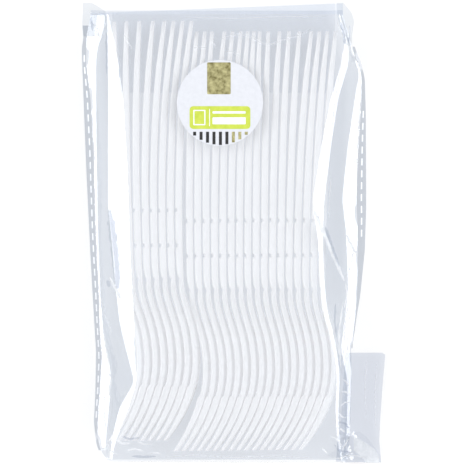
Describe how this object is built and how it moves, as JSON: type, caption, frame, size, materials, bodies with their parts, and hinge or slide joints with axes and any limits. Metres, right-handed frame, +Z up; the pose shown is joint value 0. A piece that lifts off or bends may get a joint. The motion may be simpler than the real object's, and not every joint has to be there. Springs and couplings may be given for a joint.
{
  "type": "plastic cutlery pack",
  "caption": "Clear film bag of nested disposable plastic forks lying on edge, with welded side seams, a folded top flap and a round paper label on the front.",
  "frame": {"origin": "middle of the pack's bounding box, on the surface it lies on", "axes": "+X across the stack, to the side the bowls' backs face; +Y along the forks to the handle ends and the folded top of the bag; +Z up, out of the labelled front"},
  "size_m": [0.1308, 0.1988, 0.0273],
  "materials": {
    "fork_plastic": "milky white, slightly translucent, glossy",
    "clear_film": "clear, crinkled, glossy film",
    "label_paper": "coated paper, satin"
  },
  "bodies": {
    "root": {"fork_01": "fork_plastic", "fork_02": "fork_plastic", "fork_03": "fork_plastic", "fork_04": "fork_plastic", "fork_05": "fork_plastic", "fork_06": "fork_plastic", "fork_07": "fork_plastic", "fork_08": "fork_plastic", "fork_09": "fork_plastic", "fork_10": "fork_plastic", "fork_11": "fork_plastic", "fork_12": "fork_plastic", "fork_13": "fork_plastic", "fork_14": "fork_plastic", "fork_15": "fork_plastic", "fork_16": "fork_plastic", "fork_17": "fork_plastic", "fork_18": "fork_plastic", "fork_19": "fork_plastic", "fork_20": "fork_plastic", "fork_21": "fork_plastic", "fork_22": "fork_plastic", "fork_23": "fork_plastic", "fork_24": "fork_plastic", "fork_25": "fork_plastic", "bag": "clear_film", "round_label": "label_paper"}
  },
  "joints": []
}
